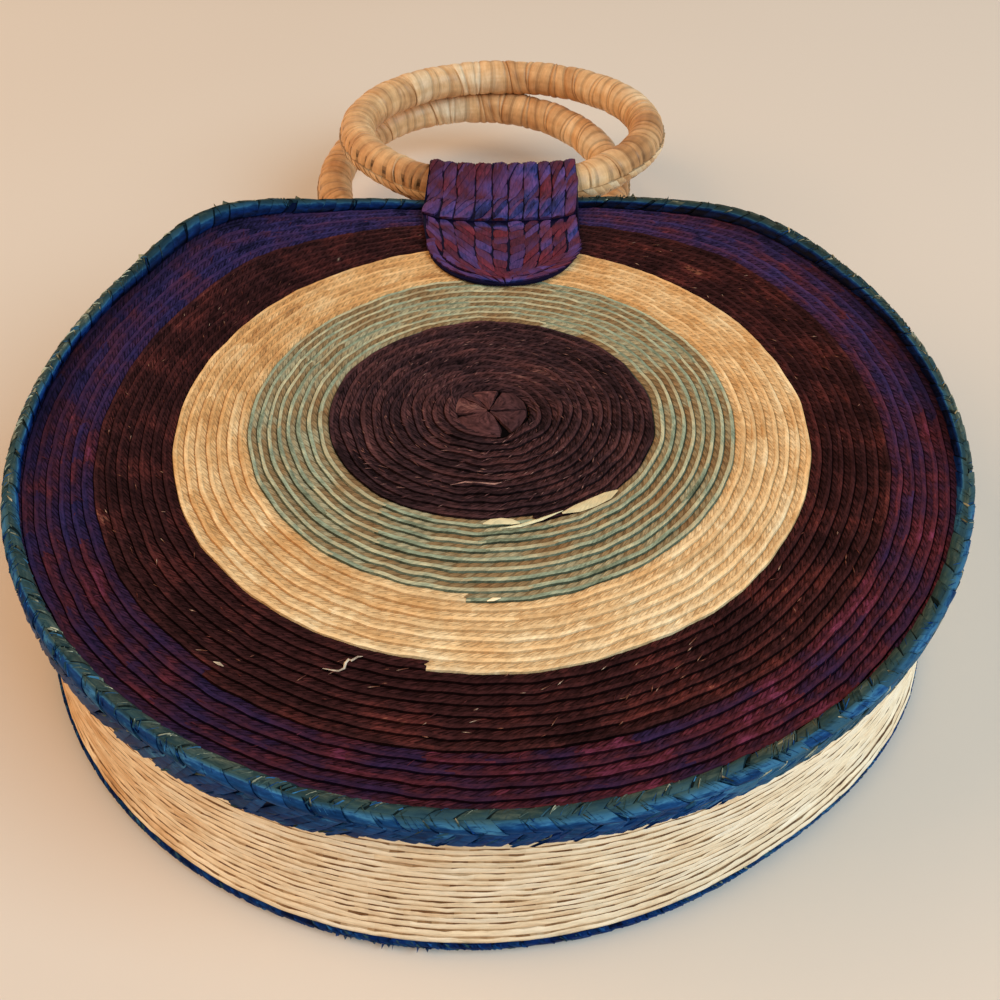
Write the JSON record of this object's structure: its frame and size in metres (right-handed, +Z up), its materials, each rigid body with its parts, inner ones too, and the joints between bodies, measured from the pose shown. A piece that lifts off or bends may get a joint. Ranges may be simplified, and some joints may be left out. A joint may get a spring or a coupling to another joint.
{
  "type": "straw bag",
  "caption": "Round flat bag of spiral-sewn straw braid in dyed rings, with plaited rims, a natural straw gusset open at the mouth, and straw-wound ring handles held by plaited tabs",
  "frame": {"origin": "on the floor, on the flat underside of the back disc, below the middle of the front disc", "axes": "+Y points from the bottom of the bag to its mouth and handles, +Z up out of the front disc, +X to the right seen from the front"},
  "size_m": [0.3909, 0.6019, 0.1034],
  "materials": {
    "centre_straw": "plum-brown dyed palm braid, dull sheen",
    "sage_straw": "sage-green and natural palm strands plaited together, dull",
    "natural_straw": "undyed golden palm braid, satin",
    "brown_straw": "dark brown dyed palm braid, dull sheen",
    "purple_straw": "purple, plum and indigo dyed palm braid, dull sheen",
    "rim_straw": "blue and teal dyed palm leaf, plaited, satin",
    "gusset_straw": "pale undyed palm braid, satin",
    "handle_straw": "undyed palm leaf wound and stitched, satin",
    "tab_straw": "purple dyed palm leaf, plaited, satin"
  },
  "bodies": {
    "root": {"front_centre_coil": "centre_straw", "front_sage_coil": "sage_straw", "front_natural_coil": "natural_straw", "front_brown_coil": "brown_straw", "front_purple_coil": "purple_straw", "front_rim_braid": "rim_straw", "front_handle_tab": "tab_straw", "front_handle_ring": "handle_straw", "back_centre_coil": "centre_straw", "back_sage_coil": "sage_straw", "back_natural_coil": "natural_straw", "back_brown_coil": "brown_straw", "back_purple_coil": "purple_straw", "back_rim_braid": "rim_straw", "back_handle_tab": "tab_straw", "back_handle_ring": "handle_straw", "gusset": "gusset_straw"}
  },
  "joints": []
}
